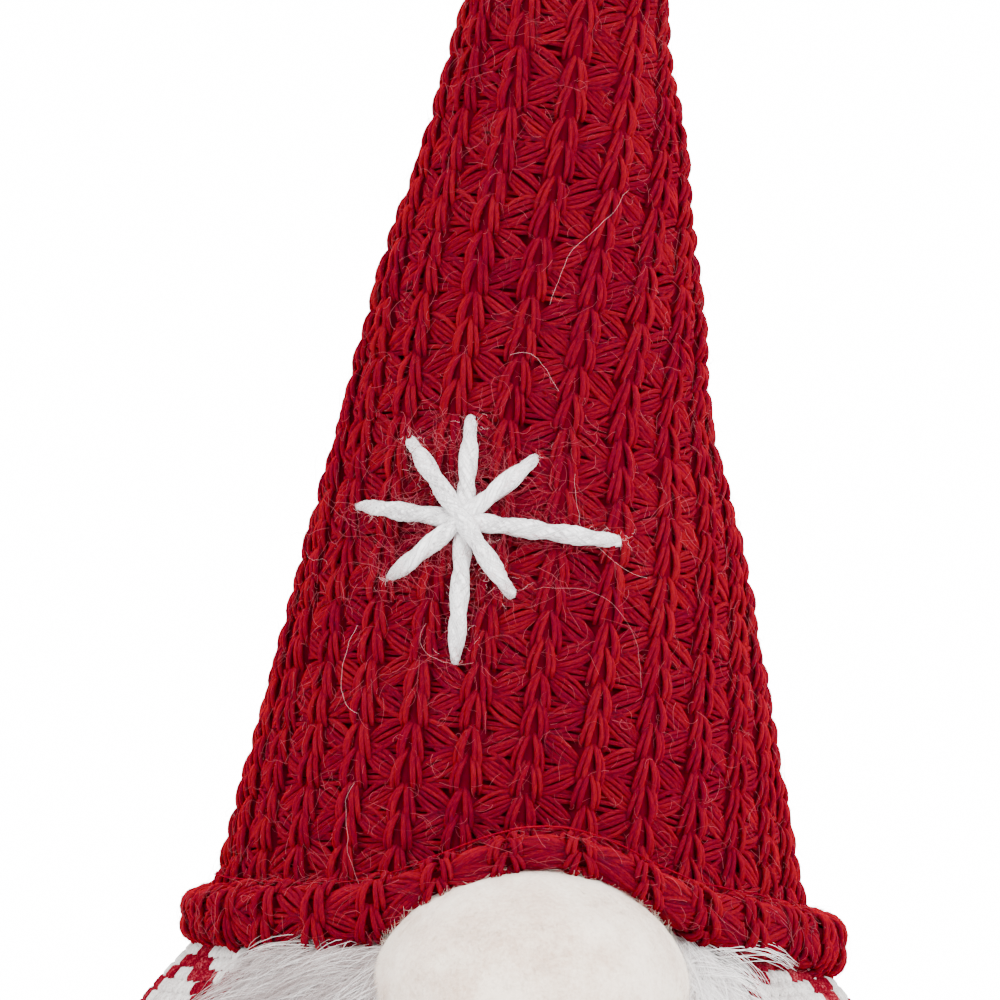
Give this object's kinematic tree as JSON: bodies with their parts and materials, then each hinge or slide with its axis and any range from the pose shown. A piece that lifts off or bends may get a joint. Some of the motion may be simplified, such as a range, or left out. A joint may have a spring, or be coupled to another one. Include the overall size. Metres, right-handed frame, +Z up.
{
  "type": "tomte gnome figurine",
  "caption": "Standing soft gnome figurine: weighted round fabric body, long fur beard, stuffed felt nose and a tall knitted hat bent by an inner wire.",
  "frame": {"origin": "centre of the flat felt underside, on the surface the figurine stands on", "axes": "+Z up, the nose and beard face -Y, +X is to the viewer's right"},
  "size_m": [0.1468, 0.1582, 0.2974],
  "materials": {
    "red_knit": "matte",
    "white_yarn": "matte",
    "white_fur": "matte",
    "cream_felt": "matte",
    "patterned_cloth": "matte",
    "red_felt": "matte",
    "polyester_stuffing": "matte",
    "white_thread": "matte",
    "red_thread": "matte",
    "pouch_cotton": "matte",
    "base_card": "matte",
    "plastic_pellets": "matte",
    "steel_wire": "satin"
  },
  "bodies": {
    "torso": {"base_felt": "red_felt", "base_board": "base_card", "base_seam_thread": "red_thread", "weight_pouch": "pouch_cotton", "pellet_fill": "plastic_pellets", "pouch_tie": "white_thread", "body_cover": "patterned_cloth", "body_stuffing": "polyester_stuffing", "neck_tie": "white_thread", "beard_backing": "white_fur", "beard_pile": "white_fur", "nose_cover": "cream_felt", "nose_stuffing": "polyester_stuffing", "nose_gather_thread": "white_thread", "hat_brim": "red_knit", "snowflake_yarn": "white_yarn", "hat_knit_lower": "red_knit", "hat_stuffing_lower": "polyester_stuffing", "hat_wire_lower": "steel_wire", "hat_seam_yarn_lower": "red_thread"},
    "hat_middle": {"hat_knit_middle": "red_knit", "hat_stuffing_middle": "polyester_stuffing", "hat_wire_middle": "steel_wire", "hat_seam_yarn_middle": "red_thread"},
    "hat_tip": {"hat_knit_tip": "red_knit", "hat_stuffing_tip": "polyester_stuffing", "hat_wire_tip": "steel_wire", "hat_seam_yarn_tip": "red_thread", "hat_tip_tie": "red_thread"}
  },
  "joints": [
    {"name": "hat_bend", "type": "hinge", "parent": "torso", "child": "hat_middle", "pos_m": [0.00663, 0, 0.2], "axis": [0, 1, 0], "range_deg": [-30, 30]},
    {"name": "tip_bend", "type": "hinge", "parent": "hat_middle", "child": "hat_tip", "pos_m": [0.01215, 0, 0.252], "axis": [0, 1, 0], "range_deg": [-45, 45]}
  ]
}
